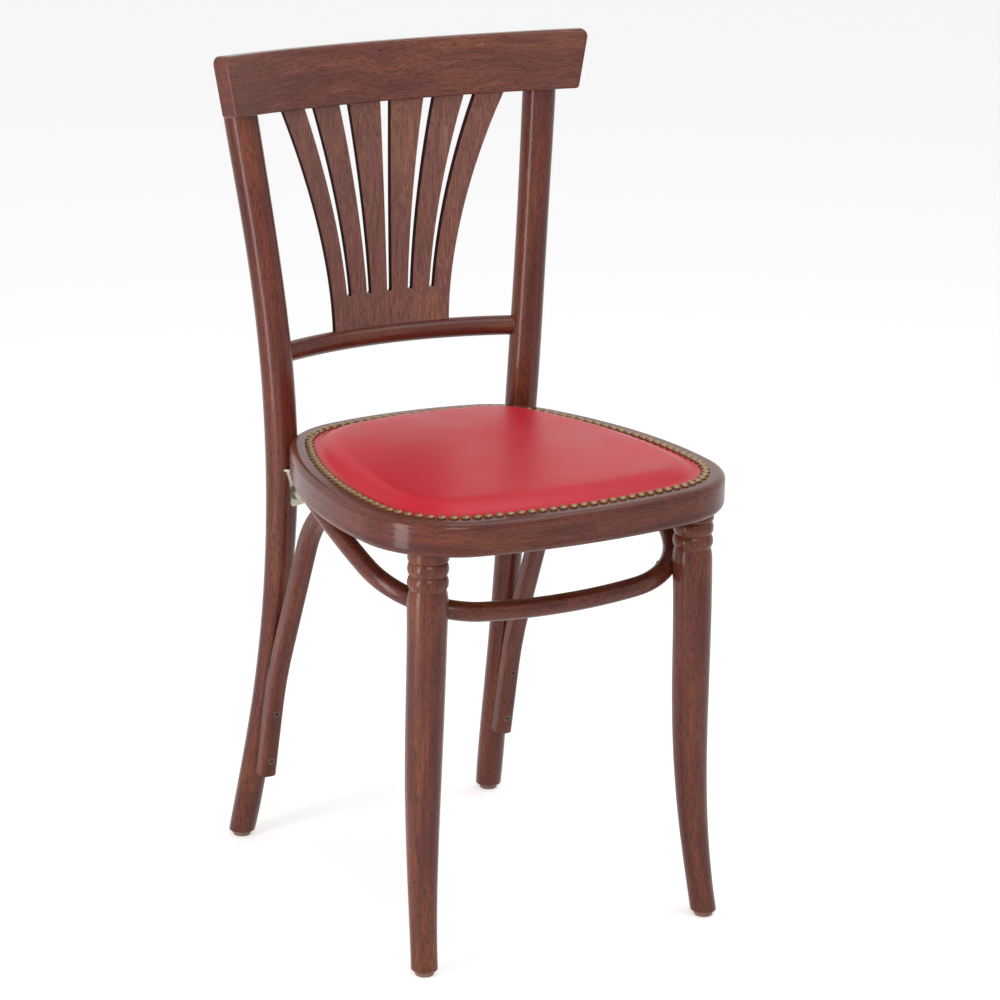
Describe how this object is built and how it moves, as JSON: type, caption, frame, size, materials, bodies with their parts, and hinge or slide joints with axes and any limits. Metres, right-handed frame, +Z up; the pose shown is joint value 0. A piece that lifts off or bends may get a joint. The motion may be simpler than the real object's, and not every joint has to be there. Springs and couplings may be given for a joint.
{
  "type": "fan back chair",
  "caption": "Bentwood dining chair with a fan splat back, turned and bent legs, a hoop stretcher and a nailed vinyl seat pad.",
  "frame": {"origin": "on the floor, under the middle of the chair's box", "axes": "+Z up, the sitter faces -Y, +X to the right as seen from the front"},
  "size_m": [0.4358, 0.4646, 0.86],
  "materials": {
    "wood": "satin lacquered dark mahogany stained beech",
    "plywood": "plain plywood",
    "foam": "cut foam",
    "vinyl": "smooth red vinyl with a soft sheen",
    "nail_brass": "antique brass",
    "zinc_plate": "yellow zinc plated pressed steel",
    "steel": "zinc plated steel",
    "glide_plastic": "matte tan brown"
  },
  "bodies": {
    "root": {"back_post_left": "wood", "back_post_right": "wood", "board_screws": "steel", "brace_leg_screws": "steel", "brace_ring_screws": "steel", "bracket_bolts": "steel", "bracket_screws": "steel", "cover_nails": "nail_brass", "fan_splat": "wood", "foot_glides": "glide_plastic", "front_leg_left": "wood", "front_leg_right": "wood", "glide_pins": "steel", "hoop_leg_screws": "steel", "hoop_ring_screws": "steel", "leg_hoop": "wood", "lower_back_rail": "wood", "rail_plugs": "wood", "rail_screws": "steel", "rear_brace_left": "wood", "rear_brace_right": "wood", "seat_board": "plywood", "seat_bracket_left": "zinc_plate", "seat_bracket_right": "zinc_plate", "seat_cover": "vinyl", "seat_foam": "foam", "seat_ring": "wood", "top_rail": "wood"}
  },
  "joints": []
}
